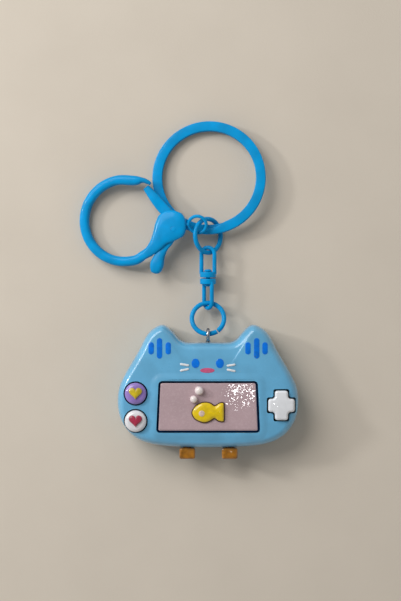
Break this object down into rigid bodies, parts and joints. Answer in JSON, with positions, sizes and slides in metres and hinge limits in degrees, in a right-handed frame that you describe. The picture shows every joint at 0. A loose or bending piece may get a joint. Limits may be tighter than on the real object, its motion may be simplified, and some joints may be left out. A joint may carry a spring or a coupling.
{
  "type": "virtual pet keychain",
  "caption": "Cat-shaped pocket toy console with push buttons and a direction cross, hung by a swivel chain from a split key ring with a lobster clasp.",
  "frame": {"origin": "on the flat back of the console, at the crossing of its left-right middle line and the height of the screen's upper third", "axes": "+X to the right of the face, +Y towards the ears and the key ring, +Z out of the screen"},
  "size_m": [0.0585, 0.0901, 0.0127],
  "materials": {
    "case": "glossy light blue",
    "panel": "pearly pink",
    "fish": "yellow resin with a brown outline",
    "pearl": "pearly white",
    "button_purple": "purple",
    "button_white": "white",
    "heart_yellow": "yellow",
    "heart_red": "raspberry red",
    "cross": "pearly white",
    "amber": "amber brown, slightly see-through",
    "inner_plastic": "grey moulding",
    "silicone": "grey silicone",
    "board": "green board",
    "potting": "black potting",
    "brass": "plain",
    "steel": "bright plating",
    "blue_metal": "blue enamel"
  },
  "bodies": {
    "console": {"front_shell": "case", "rear_shell": "case", "screen_panel": "panel", "fish_relief": "fish", "pearl_large": "pearl", "pearl_small": "pearl", "keypad_buttons": "silicone", "keypad_dpad": "silicone", "circuit_board": "board", "chip_blob": "potting", "coin_cell": "steel", "cell_contact": "steel", "buzzer": "brass", "battery_door": "case", "door_screw": "steel", "case_screw_left": "steel", "case_screw_right": "steel", "foot_left": "amber", "foot_right": "amber", "screw_eye": "steel"},
    "upper_button": {"button_upper": "button_purple", "heart_upper": "heart_yellow"},
    "lower_button": {"button_lower": "button_white", "heart_lower": "heart_red"},
    "cross_pivot": {"dpad_pivot": "inner_plastic"},
    "cross": {"dpad_cross": "cross"},
    "lower_ring": {"lower_jump_ring": "blue_metal"},
    "swivel_lower": {"swivel_lower_link": "blue_metal", "swivel_rivet": "blue_metal"},
    "swivel_upper": {"swivel_upper_link": "blue_metal"},
    "upper_ring": {"upper_jump_ring": "blue_metal"},
    "key_ring": {"split_key_ring": "blue_metal"},
    "eyelet": {"clasp_eyelet": "blue_metal"},
    "clasp": {"clasp_body": "blue_metal", "clasp_pin": "blue_metal", "clasp_spring": "steel"},
    "lever": {"clasp_lever": "blue_metal"}
  },
  "joints": [
    {"name": "upper_button_press", "type": "slide", "parent": "console", "child": "upper_button", "axis": [0, 0, -1], "range_m": [0, 0.0008], "stiffness_N_per_m": 800},
    {"name": "lower_button_press", "type": "slide", "parent": "console", "child": "lower_button", "axis": [0, 0, -1], "range_m": [0, 0.0008], "stiffness_N_per_m": 800},
    {"name": "cross_tilt_up_down", "type": "hinge", "parent": "console", "child": "cross_pivot", "pos_m": [0.0193, -0.0026, 0.0073], "axis": [1, 0, 0], "range_deg": [-3.5, 3.5], "stiffness_Nm_per_rad": 0.02},
    {"name": "cross_tilt_left_right", "type": "hinge", "parent": "cross_pivot", "child": "cross", "pos_m": [0.0193, -0.0026, 0.0073], "axis": [0, 1, 0], "range_deg": [-3.5, 3.5], "stiffness_Nm_per_rad": 0.02},
    {"name": "lower_ring_swing", "type": "hinge", "parent": "console", "child": "lower_ring", "pos_m": [0, 0.0161, 0.0052], "axis": [1, 0, 0], "range_deg": [-60, 60]},
    {"name": "swivel_link_swing", "type": "hinge", "parent": "lower_ring", "child": "swivel_lower", "pos_m": [0, 0.02432, 0.00269], "axis": [-1, 0, 0], "range_deg": [-60, 60]},
    {"name": "swivel_spin", "type": "hinge", "parent": "swivel_lower", "child": "swivel_upper", "pos_m": [0, 0.03106, 0.00314], "axis": [0, 0.9977, 0.0677], "continuous": true},
    {"name": "upper_ring_swing", "type": "hinge", "parent": "swivel_upper", "child": "upper_ring", "pos_m": [0, 0.0378, 0.0036], "axis": [0.7547, 0, -0.6561], "range_deg": [-40, 40]},
    {"name": "key_ring_swing", "type": "hinge", "parent": "upper_ring", "child": "key_ring", "pos_m": [0.0003, 0.0448, 0.0032], "axis": [1, 0, 0], "range_deg": [-80, 0]},
    {"name": "clasp_eyelet_swing", "type": "hinge", "parent": "upper_ring", "child": "eyelet", "pos_m": [-0.00268, 0.04507, 0.00593], "axis": [0.4646, 0.788, -0.4039], "range_deg": [0, 60]},
    {"name": "clasp_swivel", "type": "hinge", "parent": "eyelet", "child": "clasp", "pos_m": [-0.0028, 0.0452, 0.0062], "axis": [0.9874, 0, 0.1582], "range_deg": [0, 40]},
    {"name": "clasp_lever_open", "type": "hinge", "parent": "clasp", "child": "lever", "pos_m": [-0.00897, 0.0439, 0.00521], "axis": [-0.1582, 0, 0.9874], "range_deg": [0, 28], "stiffness_Nm_per_rad": 0.02}
  ]
}
